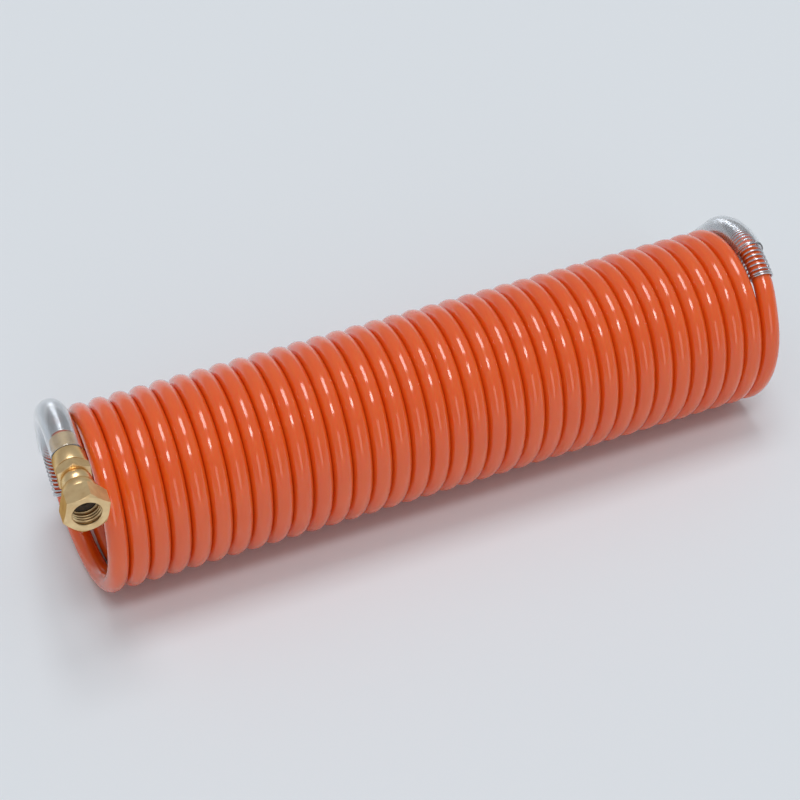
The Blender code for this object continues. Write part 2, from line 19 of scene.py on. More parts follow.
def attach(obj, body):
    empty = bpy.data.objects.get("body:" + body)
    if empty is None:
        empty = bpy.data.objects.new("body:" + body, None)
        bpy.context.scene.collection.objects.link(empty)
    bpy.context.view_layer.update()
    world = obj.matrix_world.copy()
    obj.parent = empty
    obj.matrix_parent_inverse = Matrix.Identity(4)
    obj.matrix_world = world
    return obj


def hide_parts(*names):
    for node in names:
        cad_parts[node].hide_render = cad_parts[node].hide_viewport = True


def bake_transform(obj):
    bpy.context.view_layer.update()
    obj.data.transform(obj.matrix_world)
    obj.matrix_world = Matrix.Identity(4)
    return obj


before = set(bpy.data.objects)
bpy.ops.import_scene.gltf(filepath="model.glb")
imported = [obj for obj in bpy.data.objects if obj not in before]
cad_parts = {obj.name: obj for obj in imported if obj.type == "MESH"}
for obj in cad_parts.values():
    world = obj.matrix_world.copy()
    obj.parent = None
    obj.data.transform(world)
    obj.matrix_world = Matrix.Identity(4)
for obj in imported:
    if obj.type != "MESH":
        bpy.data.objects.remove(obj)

MM = 0.001
TAU = 2.0 * math.pi
LOG = logging.getLogger("coiled_air_hose")

Colour = tuple[float, float, float, float]
Outline = list[tuple[float | np.ndarray, float | np.ndarray]]


class End(Enum):
    """The two ends of the hose, each with the way it runs along the hose."""

    INLET = -1
    OUTLET = 1

    @property
    def label(self) -> str:
        """Start of the names of this end's pieces."""
        return self.name.lower()

    @property
    def body(self) -> str:
        """Body that carries this end's fitting and guard."""
        return "hose_and_inlet" if self is End.INLET else "outlet_end"

    @property
    def nut_body(self) -> str:
        """Body of this end's swivel nut."""
        return self.label + "_nut"


def linear(hex_colour: str) -> Colour:
    """Turn an sRGB hex colour into linear light.

    Args:
        hex_colour: Six hex digits, red first.

    Returns:
        Red, green, blue and an alpha of 1.
    """
    parts = [int(hex_colour[i:i + 2], 16) / 255.0 for i in (0, 2, 4)]
    red, green, blue = [p / 12.92 if p <= 0.04045 else ((p + 0.055) / 1.055) ** 2.4 for p in parts]
    return red, green, blue, 1.0


def add_node(tree: bpy.types.NodeTree, kind: str, inputs: dict, **settings) -> bpy.types.Node:
    """Add a node, set its options and fill or link its inputs.

    Args:
        tree: Node tree that takes the node.
        kind: Blender's name of the node type.
        inputs: Input name or number, with a value or with the output socket to link.
        **settings: Options of the node itself.

    Returns:
        The new node.
    """
    node = tree.nodes.new(kind)
    for option, value in settings.items():
        setattr(node, option, value)
    for key, value in inputs.items():
        if isinstance(value, bpy.types.NodeSocket):
            tree.links.new(value, node.inputs[key])
        else:
            node.inputs[key].default_value = value
    return node


def new_material(name: str) -> tuple[bpy.types.Material, bpy.types.NodeTree, bpy.types.Node]:
    """Make a material with its Principled shader.

    Args:
        name: Name of the material.

    Returns:
        The material, its node tree and its Principled node.
    """
    material = bpy.data.materials.new(name)
    material.use_nodes = True
    return material, material.node_tree, material.node_tree.nodes["Principled BSDF"]


@dataclass(frozen=True)
class ExtrudedPolyamide:
    """Polyamide tube as it leaves the extruder: glossy and a little translucent, with faint die lines."""

    body_colour: str = "EE651C"
    deep_colour: str = "E65918"
    roughness: float = 0.15
    ior: float = 1.53
    die_line_mm: float = 0.9
    die_line_length_mm: float = 60.0
    cloud_mm: float = 22.0
    scatter: float = 0.5
    scatter_mm: float = 2.2
    scatter_reach: tuple[float, float, float] = (1.0, 0.2, 0.1)
    coat: float = 0.6
    coat_roughness: float = 0.06

    def make(self) -> bpy.types.Material:
        """Return the material; its lines follow the hose through the mesh's own coordinates."""
        material, tree, shader = new_material("orange_polyamide_extruded")
        # Real die lines are near a tenth of a millimetre; they are drawn coarser so that they show.
        place = add_node(tree, "ShaderNodeUVMap", {}, uv_map="along_hose")
        stretch = add_node(tree, "ShaderNodeMapping", {
            "Vector": place.outputs["UV"],
            "Scale": (1.0 / (self.die_line_mm * MM), 1.0 / (self.die_line_length_mm * MM), 1.0)})
        lines = add_node(tree, "ShaderNodeTexNoise", {
            "Vector": stretch.outputs["Vector"], "Scale": 1.0, "Detail": 2.0})
        space = add_node(tree, "ShaderNodeTexCoord", {})
        clouds = add_node(tree, "ShaderNodeTexNoise", {
            "Vector": space.outputs["Object"], "Scale": 1.0 / (self.cloud_mm * MM), "Detail": 3.0})
        tint = add_node(tree, "ShaderNodeMix", {
            "Factor": clouds.outputs["Fac"], 6: linear(self.deep_colour), 7: linear(self.body_colour)},
            data_type="RGBA")
        gloss = add_node(tree, "ShaderNodeMapRange", {
            "Value": lines.outputs["Fac"], "To Min": self.roughness - 0.03, "To Max": self.roughness + 0.05})
        relief = add_node(tree, "ShaderNodeBump", {
            "Height": lines.outputs["Fac"], "Strength": 0.06, "Distance": 0.05 * MM})
        tree.links.new(tint.outputs[2], shader.inputs["Base Color"])
        tree.links.new(gloss.outputs["Result"], shader.inputs["Roughness"])
        tree.links.new(relief.outputs["Normal"], shader.inputs["Normal"])
        shader.inputs["IOR"].default_value = self.ior
        shader.inputs["Subsurface Weight"].default_value = self.scatter
        shader.inputs["Subsurface Radius"].default_value = self.scatter_reach
        shader.inputs["Subsurface Scale"].default_value = self.scatter_mm * MM
        shader.inputs["Coat Weight"].default_value = self.coat
        shader.inputs["Coat Roughness"].default_value = self.coat_roughness
        return material


@dataclass(frozen=True)
class TurnedBrass:
    """Free-cutting brass turned on a lathe: pale yellow, bright, with fine rings from the tool."""

    bright_colour: str = "F9DCA9"
    dull_colour: str = "CFA673"
    grazing_colour: str = "B08553"
    roughness: float = 0.3
    tool_ring_mm: float = 0.5
    tarnish_mm: float = 5.0

    def make(self, name: str, axis: Matrix) -> bpy.types.Material:
        """Make the brass for one fitting.

        Args:
            name: Name of the material.
            axis: Place and direction of the fitting's axis, which the tool rings run round.

        Returns:
            The material.
        """
        material, tree, shader = new_material(name)
        space = add_node(tree, "ShaderNodeTexCoord", {})
        local = add_node(tree, "ShaderNodeMapping", {
            "Vector": space.outputs["Object"], "Location": axis.translation,
            "Rotation": axis.to_euler()}, vector_type="TEXTURE")
        across = add_node(tree, "ShaderNodeVectorMath", {
            0: local.outputs["Vector"], 1: (1.0, 1.0, 0.0)}, operation="MULTIPLY")
        radius = add_node(tree, "ShaderNodeVectorMath", {0: across.outputs["Vector"]}, operation="LENGTH")
        split = add_node(tree, "ShaderNodeSeparateXYZ", {"Vector": local.outputs["Vector"]})
        ring_place = add_node(tree, "ShaderNodeCombineXYZ", {
            "X": radius.outputs["Value"], "Z": split.outputs["Z"]})
        # Tool rings are near 0.1 mm apart on the real part; they are drawn coarser so that they show.
        rings = add_node(tree, "ShaderNodeTexNoise", {
            "Vector": ring_place.outputs["Vector"], "Scale": 1.0 / (self.tool_ring_mm * MM), "Detail": 1.0})
        tarnish = add_node(tree, "ShaderNodeTexNoise", {
            "Vector": space.outputs["Object"], "Scale": 1.0 / (self.tarnish_mm * MM), "Detail": 4.0})
        dulled = add_node(tree, "ShaderNodeMapRange", {
            "Value": tarnish.outputs["Fac"], "From Min": 0.35, "From Max": 0.8, "To Max": 0.7})
        tint = add_node(tree, "ShaderNodeMix", {
            "Factor": dulled.outputs["Result"], 6: linear(self.bright_colour), 7: linear(self.dull_colour)},
            data_type="RGBA")
        gloss = add_node(tree, "ShaderNodeMapRange", {
            "Value": tarnish.outputs["Fac"],
            "To Min": self.roughness - 0.06, "To Max": self.roughness + 0.12})
        relief = add_node(tree, "ShaderNodeBump", {
            "Height": rings.outputs["Fac"], "Strength": 0.12, "Distance": 0.04 * MM})
        tree.links.new(tint.outputs[2], shader.inputs["Base Color"])
        tree.links.new(gloss.outputs["Result"], shader.inputs["Roughness"])
        tree.links.new(relief.outputs["Normal"], shader.inputs["Normal"])
        shader.inputs["Metallic"].default_value = 1.0
        shader.inputs["Specular Tint"].default_value = linear(self.grazing_colour)
        return material


@dataclass(frozen=True)
class DrawnSteel:
    """Spring steel wire, drawn bright through a die: silver with light and dark patches along it."""

    bright_colour: str = "E8E9EB"
    dull_colour: str = "B4B6BB"
    roughness: float = 0.22
    patch_mm: float = 1.4

    def make(self) -> bpy.types.Material:
        """Return the material."""
        material, tree, shader = new_material("spring_steel_drawn")
        space = add_node(tree, "ShaderNodeTexCoord", {})
        patches = add_node(tree, "ShaderNodeTexNoise", {
            "Vector": space.outputs["Object"], "Scale": 1.0 / (self.patch_mm * MM), "Detail": 3.0})
        tint = add_node(tree, "ShaderNodeMix", {
            "Factor": patches.outputs["Fac"], 6: linear(self.dull_colour), 7: linear(self.bright_colour)},
            data_type="RGBA")
        gloss = add_node(tree, "ShaderNodeMapRange", {
            "Value": patches.outputs["Fac"], "To Min": self.roughness + 0.1, "To Max": self.roughness - 0.08})
        tree.links.new(tint.outputs[2], shader.inputs["Base Color"])
        tree.links.new(gloss.outputs["Result"], shader.inputs["Roughness"])
        shader.inputs["Metallic"].default_value = 1.0
        return material


@dataclass(frozen=True)
class ClearVinyl:
    """Soft clear vinyl tube, extruded: clear with a faint milky haze and a wet gloss."""

    tint: str = "F6F9FC"
    roughness: float = 0.08
    ior: float = 1.3
    clearness: float = 0.98
    shade: float = 0.1
    haze_mm: float = 9.0
    coat_roughness: float = 0.04
    coat_ior: float = 1.7

    def make(self) -> bpy.types.Material:
        """Return the material; the haze is a share of the wall that scatters instead of passing light."""
        material, tree, shader = new_material("clear_vinyl_extruded")
        space = add_node(tree, "ShaderNodeTexCoord", {})
        haze = add_node(tree, "ShaderNodeTexNoise", {
            "Vector": space.outputs["Object"], "Scale": 1.0 / (self.haze_mm * MM), "Detail": 2.0})
        clear = add_node(tree, "ShaderNodeMapRange", {
            "Value": haze.outputs["Fac"], "To Min": self.clearness + 0.02, "To Max": self.clearness - 0.02})
        gloss = add_node(tree, "ShaderNodeMapRange", {
            "Value": haze.outputs["Fac"], "To Min": self.roughness - 0.04, "To Max": self.roughness + 0.06})
        # Lamp light goes through the thin wall, so that the fitting behind it is lit.
        rays = add_node(tree, "ShaderNodeLightPath", {})
        passing = add_node(tree, "ShaderNodeMapRange", {
            "Value": rays.outputs["Is Shadow Ray"], "To Min": 1.0, "To Max": self.shade})
        tree.links.new(passing.outputs["Result"], shader.inputs["Alpha"])
        tree.links.new(clear.outputs["Result"], shader.inputs["Transmission Weight"])
        tree.links.new(gloss.outputs["Result"], shader.inputs["Roughness"])
        shader.inputs["Base Color"].default_value = linear(self.tint)
        shader.inputs["IOR"].default_value = self.ior
        shader.inputs["Coat Weight"].default_value = 1.0
        shader.inputs["Coat Roughness"].default_value = self.coat_roughness
        shader.inputs["Coat IOR"].default_value = self.coat_ior
        return material


@dataclass(frozen=True)
class GrainedSheet:
    """Matte stock with a fine grain, for the moulded rubber ring and the pressed fibre washer."""

    name: str
    light_colour: str
    dark_colour: str
    roughness: float
    grain_mm: float

    def make(self) -> bpy.types.Material:
        """Return the material."""
        material, tree, shader = new_material(self.name)
        space = add_node(tree, "ShaderNodeTexCoord", {})
        grain = add_node(tree, "ShaderNodeTexNoise", {
            "Vector": space.outputs["Object"], "Scale": 1.0 / (self.grain_mm * MM), "Detail": 4.0})
        tint = add_node(tree, "ShaderNodeMix", {
            "Factor": grain.outputs["Fac"], 6: linear(self.dark_colour), 7: linear(self.light_colour)},
            data_type="RGBA")
        relief = add_node(tree, "ShaderNodeBump", {
            "Height": grain.outputs["Fac"], "Strength": 0.25, "Distance": 0.05 * MM})
        tree.links.new(tint.outputs[2], shader.inputs["Base Color"])
        tree.links.new(relief.outputs["Normal"], shader.inputs["Normal"])
        shader.inputs["Roughness"].default_value = self.roughness
        return material


# Moulded nitrile rubber is dull and near black; pressed fibre is brown grey and dry.
MOULDED_RUBBER = GrainedSheet("nitrile_rubber_moulded", "2A2A2B", "141415", 0.55, 0.5)
PRESSED_FIBRE = GrainedSheet("fibre_sheet_pressed", "6E645A", "453C34", 0.85, 0.4)


def add_piece(name: str, points: np.ndarray, faces: Sequence[Sequence[int]],
              material: bpy.types.Material, sharp_deg: float = 30.0) -> bpy.types.Object:
    """Make a smooth-shaded object from points and faces.

    Args:
        name: Name of the piece.
        points: One row of three numbers for each point, in metres.
        faces: Point numbers of each face.
        material: Finish of the piece.
        sharp_deg: Edges that turn more than this stay sharp.

    Returns:
        The new object, linked to the scene.
    """
    mesh = bpy.data.meshes.new(name)
    mesh.from_pydata([tuple(p) for p in points], [], [tuple(f) for f in faces])
    builder = bmesh.new()
    builder.from_mesh(mesh)
    bmesh.ops.recalc_face_normals(builder, faces=builder.faces)
    builder.to_mesh(mesh)
    builder.free()
    mesh.materials.append(material)
    mesh.shade_smooth()
    mesh.set_sharp_from_angle(angle=math.radians(sharp_deg))
    piece = bpy.data.objects.new(name, mesh)
    bpy.context.scene.collection.objects.link(piece)
    return piece


def ring_faces(rings: int, sides: int, wrap: bool) -> list[tuple[int, ...]]:
    """Number the quads between neighbouring rings of points.

    Args:
        rings: Count of rings.
        sides: Count of points in each ring.
        wrap: Whether the last ring joins the first.

    Returns:
        Four point numbers for each face.
    """
    faces = []
    for i in range(rings if wrap else rings - 1):
        near, far = i * sides, (i + 1) % rings * sides
        for j in range(sides):
            k = (j + 1) % sides
            faces.append((near + j, near + k, far + k, far + j))
    return faces


def capped(faces: list[tuple[int, ...]], rings: int, sides: int) -> list[tuple[int, ...]]:
    """Return the faces with a flat cap on the first and on the last ring."""
    last = (rings - 1) * sides
    return faces + [tuple(range(sides)), tuple(range(last, last + sides))]


def frames_along(tangents: np.ndarray) -> tuple[np.ndarray, np.ndarray]:
    """Find two directions across a line at each of its points.

    Args:
        tangents: Unit directions along the line.

    Returns:
        The outward and the sideways directions; sideways stays as near to +X as it can.
    """
    sideways = np.array([1.0, 0.0, 0.0]) - tangents * tangents[:, :1]
    sideways /= np.linalg.norm(sideways, axis=1)[:, None]
    return np.cross(sideways, tangents), sideways


@dataclass(frozen=True)
class CoilRoute:
    """The hose's centre line, wound as the CAD hose is."""

    hose_diameter: float = 8.0 * MM
    coil_radius: float = 35.0 * MM
    turn_pitch: float = 8.67 * MM
    whole_turns: int = 35
    lean: float = 0.026
    axis_height: float = 38.2 * MM
    inlet_angle: float = math.radians(0.7)
    outlet_angle: float = math.radians(51.0)
    inlet_shift: float = 3.7 * MM
    inlet_shift_reach: float = math.radians(330.0)
    outlet_shift: float = 3.0 * MM
    outlet_shift_reach: float = math.radians(240.0)
    nestle: float = 0.85
    nestle_start: float = math.radians(80.0)
    nestle_reach: float = math.radians(28.0)
    inlet_lift: float = 5.0 * MM
    inlet_lift_reach: float = math.radians(80.0)
    outlet_lift: float = 1.4 * MM
    outlet_lift_reach: float = math.radians(110.0)
    inlet_straight: float = 5.4 * MM
    outlet_straight: float = 27.86 * MM
    insertion: float = 16.4 * MM
    step: float = math.radians(1.5)

    @property
    def last_angle(self) -> float:
        """Angle at which the hose leaves the coil at the outlet."""
        return self.whole_turns * TAU + self.outlet_angle

    def wound(self, angles: np.ndarray) -> np.ndarray:
        """Find points of the coil.

        Args:
            angles: Angles from the top of the first turn toward the back.

        Returns:
            One point for each angle.
        """
        from_inlet, from_outlet = angles - self.inlet_angle, self.last_angle - angles
        rest_angle = (2 * (self.whole_turns // 2) + 1) * math.pi
        near_in = 1.0 - np.minimum(from_inlet / self.inlet_shift_reach, 1.0)
        near_out = 1.0 - np.minimum(from_outlet / self.outlet_shift_reach, 1.0)
        # Past the outlet guard the hose lies against the turn beside it, closer than the CAD bar does.
        settled = np.clip((from_outlet - self.nestle_start) / self.nestle_reach, 0.0, 1.0)
        near_out *= np.sqrt(1.0 - self.nestle * settled ** 2 * (3.0 - 2.0 * settled))
        along = self.turn_pitch * (angles - rest_angle) / TAU
        along = along - self.inlet_shift * near_in ** 2 + self.outlet_shift * near_out ** 2
        radius = np.full(len(angles), self.coil_radius)
        for amount, away in ((self.inlet_lift, from_inlet / self.inlet_lift_reach),
                             (self.outlet_lift, from_outlet / self.outlet_lift_reach)):
            share = np.minimum(away, 1.0)
            radius += amount * (1.0 - share) ** 2 * (1.0 + 2.0 * share)
        rise = radius * np.cos(angles)
        lean = self.lean * (rise + self.coil_radius)
        return np.stack([along + lean, radius * np.sin(angles), self.axis_height + rise], axis=1)

    def leaving(self, end: End) -> tuple[Vector, Vector]:
        """Find where and in which direction the hose leaves the coil.

        Args:
            end: One end of the hose.

        Returns:
            The point on the coil and the unit direction away from it.
        """
        angle = self.inlet_angle if end is End.INLET else self.last_angle
        inside, edge = self.wound(np.array([angle - end.value * 0.0005, angle]))
        return Vector(edge), (Vector(edge) - Vector(inside)).normalized()

    def fitting_axis(self, end: End) -> Matrix:
        """Return the frame of one fitting: origin at the compression nut's rear, +Z out of the fitting."""
        edge, direction = self.leaving(end)
        straight = self.inlet_straight if end is End.INLET else self.outlet_straight
        sideways = Vector((1.0, 0.0, 0.0))
        sideways = (sideways - direction * direction.x).normalized()
        turn = Matrix((sideways, direction.cross(sideways), direction)).transposed().to_4x4()
        return Matrix.Translation(edge + direction * straight) @ turn

    def line(self) -> np.ndarray:
        """Return the whole centre line, from the tip in the inlet fitting to the outlet's."""
        count = round((self.last_angle - self.inlet_angle) / self.step)
        coil = self.wound(np.linspace(self.inlet_angle, self.last_angle, count + 1))
        tips = [self.fitting_axis(end) @ Vector((0.0, 0.0, self.insertion)) for end in End]
        return np.vstack([tips[0], coil, tips[1]])


class Route:
    """A centre line that is read by distance from its first point."""

    def __init__(self, points: np.ndarray) -> None:
        """Measure the line."""
        steps = np.linalg.norm(np.diff(points, axis=0), axis=1)
        self.points = points
        self.distances = np.concatenate([[0.0], np.cumsum(steps)])
        self.length = float(self.distances[-1])

    def at(self, distances: np.ndarray) -> tuple[np.ndarray, np.ndarray]:
        """Read the line.

        Args:
            distances: Distances from the first point.

        Returns:
            The points there and the unit directions of the line.
        """
        def read(where: np.ndarray) -> np.ndarray:
            where = np.clip(where, 0.0, self.length)
            return np.stack([np.interp(where, self.distances, self.points[:, k]) for k in range(3)], axis=1)

        along = read(distances + 0.5 * MM) - read(distances - 0.5 * MM)
        return read(distances), along / np.linalg.norm(along, axis=1)[:, None]


@dataclass(frozen=True)
class Guard:
    """Sizes shared by the spring and the sleeve behind a fitting, measured from the hose's tip."""

    sleeve_radius: float = 6.4 * MM
    sleeve_wall: float = 0.55 * MM
    sleeve_start: float = 7.1 * MM
    sleeve_length: float = 73.3 * MM
    inlet_spring_tip: float = 102.9 * MM
    outlet_spring_tip: float = 93.9 * MM
    spring_end: float = 16.9 * MM
    spring_radius: float = 5.0 * MM
    wire: float = 0.8 * MM
    tip_pitch: float = 0.84 * MM
    tip_run: float = 1.68 * MM
    open_pitch: float = 2.05 * MM
    open_under_sleeve: float = 3.0 * MM
    easing_run: float = 8.0 * MM
    inner_pitch: float = 0.96 * MM
    wave_height: float = 0.05 * MM
    wave_length: float = 7.0 * MM

    def build_spring(self, end: End, route: Route, material: bpy.types.Material) -> bpy.types.Object:
        """Wind the spring: two closed turns at its tip, open turns, then close turns under the sleeve.

        Args:
            end: End of the hose that the spring guards.
            route: The hose's line, read from that end.
            material: Finish of the wire.

        Returns:
            The spring.
        """
        points_per_turn, sides, samples = 24, 8, 3000
        tip = self.inlet_spring_tip if end is End.INLET else self.outlet_spring_tip
        open_run = tip - self.sleeve_start - self.sleeve_length + self.open_under_sleeve
        run = np.linspace(0.0, tip - self.spring_end, samples)
        share = np.clip((run - open_run) / self.easing_run, 0.0, 1.0)
        pitch = self.open_pitch + (self.inner_pitch - self.open_pitch) * share
        pitch[run < self.tip_run] = self.tip_pitch
        turned = np.concatenate([[0.0], np.cumsum(np.diff(run) / pitch[1:])])
        turns = np.linspace(0.0, turned[-1], round(turned[-1] * points_per_turn) + 1)
        centres, tangents = route.at(tip - np.interp(turns, turned, run))
        outward, sideways = frames_along(tangents)
        angles = (TAU * turns)[:, None]
        spokes = np.cos(angles) * outward + np.sin(angles) * sideways
        wire_line = centres + self.spring_radius * spokes
        along = np.gradient(wire_line, axis=0)
        along /= np.linalg.norm(along, axis=1)[:, None]
        across = np.cross(along, spokes)
        across /= np.linalg.norm(across, axis=1)[:, None]
        up = np.cross(across, along)
        round_wire = np.linspace(0.0, TAU, sides, endpoint=False)
        rings = [wire_line + self.wire / 2.0 * (math.cos(a) * up + math.sin(a) * across) for a in round_wire]
        points = np.stack(rings, axis=1).reshape(-1, 3)
        faces = capped(ring_faces(len(turns), sides, False), len(turns), sides)
        return add_piece(end.label + "_guard_spring", points, faces, material, 60.0)

    def build_sleeve(self, end: End, route: Route, material: bpy.types.Material) -> bpy.types.Object:
        """Make the clear sleeve: a thin tube with rounded cut ends and a slight waviness.

        Args:
            end: End of the hose that the sleeve covers.
            route: The hose's line, read from that end.
            material: Finish of the sleeve.

        Returns:
            The sleeve.
        """
        sides, count = 40, 69
        stations = np.linspace(self.sleeve_start, self.sleeve_start + self.sleeve_length, count)
        edge = self.sleeve_wall / 3.0
        inner = self.sleeve_radius - self.sleeve_wall
        wave = self.wave_height * np.sin(stations / self.wave_length)
        outer_line = [(s, self.sleeve_radius + w) for s, w in zip(stations, wave)]
        inner_line = [(s, inner + w) for s, w in zip(stations[::-1], wave[::-1])]
        outer_line[0] = (stations[0], self.sleeve_radius - edge)
        outer_line.insert(1, (stations[0] + edge, self.sleeve_radius))
        outer_line[-1] = (stations[-1], self.sleeve_radius - edge)
        outer_line.insert(-1, (stations[-1] - edge, self.sleeve_radius))
        outline = outer_line + inner_line
        centres, tangents = route.at(np.array([s for s, _ in outline]))
        outward, sideways = frames_along(tangents)
        radii = np.array([r for _, r in outline])[:, None]
        turns = np.linspace(0.0, TAU, sides, endpoint=False)
        rings = [centres + radii * (math.cos(a) * outward + math.sin(a) * sideways) for a in turns]
        points = np.stack(rings, axis=1).reshape(-1, 3)
        return add_piece(end.label + "_sleeve", points, ring_faces(len(outline), sides, True), material, 50.0)


@dataclass(frozen=True)
class Hose:
    """The wound hose, drawn a little thicker than its CAD bar so that its turns close up."""

    coil_diameter: float = 8.64 * MM
    end_diameter: float = 8.5 * MM
    sides: int = 20
    ring_step: float = 4.4 * MM
    held_by_guard: float = 106.0 * MM
    ease: float = 120.0 * MM

    def build(self, route: Route, material: bpy.types.Material) -> tuple[bpy.types.Object, np.ndarray]:
        """Make the hose as one closed tube that lies on the floor.

        Args:
            route: The hose's line from the inlet.
            material: Finish of the hose.

        Returns:
            The hose and the centres of its rings.
        """
        distances = np.linspace(0.0, route.length, round(route.length / self.ring_step) + 1)
        centres, tangents = route.at(distances)
        outward, sideways = frames_along(tangents)
        # The first side points to the coil's axis, so that the seam of the pattern stays out of sight.
        turns = np.linspace(math.pi, math.pi + TAU, self.sides, endpoint=False)
        from_end = np.minimum(distances, route.length - distances)
        swell = [self.held_by_guard, self.held_by_guard + self.ease]
        radius = np.interp(from_end, swell, [self.end_diameter / 2.0, self.coil_diameter / 2.0])[:, None]
        rings = [centres + radius * (math.cos(a) * outward + math.sin(a) * sideways) for a in turns]
        points = np.stack(rings, axis=1).reshape(-1, 3)
        points[:, 2] = np.maximum(points[:, 2], 0.0)
        count = len(distances)
        faces = capped(ring_faces(count, self.sides, False), count, self.sides)
        hose = add_piece("hose_tube", points, faces, material, 60.0)
        self.lay_pattern(hose.data, distances)
        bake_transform(hose)
        return hose, centres

    def lay_pattern(self, mesh: bpy.types.Mesh, distances: np.ndarray) -> None:
        """Give each face corner its distance round and along the hose, in metres.

        Args:
            mesh: Mesh of the hose.
            distances: Distance of each ring from the inlet tip.
        """
        layer = mesh.uv_layers.new(name="along_hose")
        side_width = math.pi * self.coil_diameter / self.sides
        for face in mesh.polygons:
            numbers = [mesh.loops[i].vertex_index for i in face.loop_indices]
            wraps = len({n % self.sides for n in numbers} & {0, self.sides - 1}) == 2
            for i, number in zip(face.loop_indices, numbers):
                ring, side = divmod(number, self.sides)
                if wraps and side == 0:
                    side = self.sides
                layer.data[i].uv = (side * side_width, distances[ring])


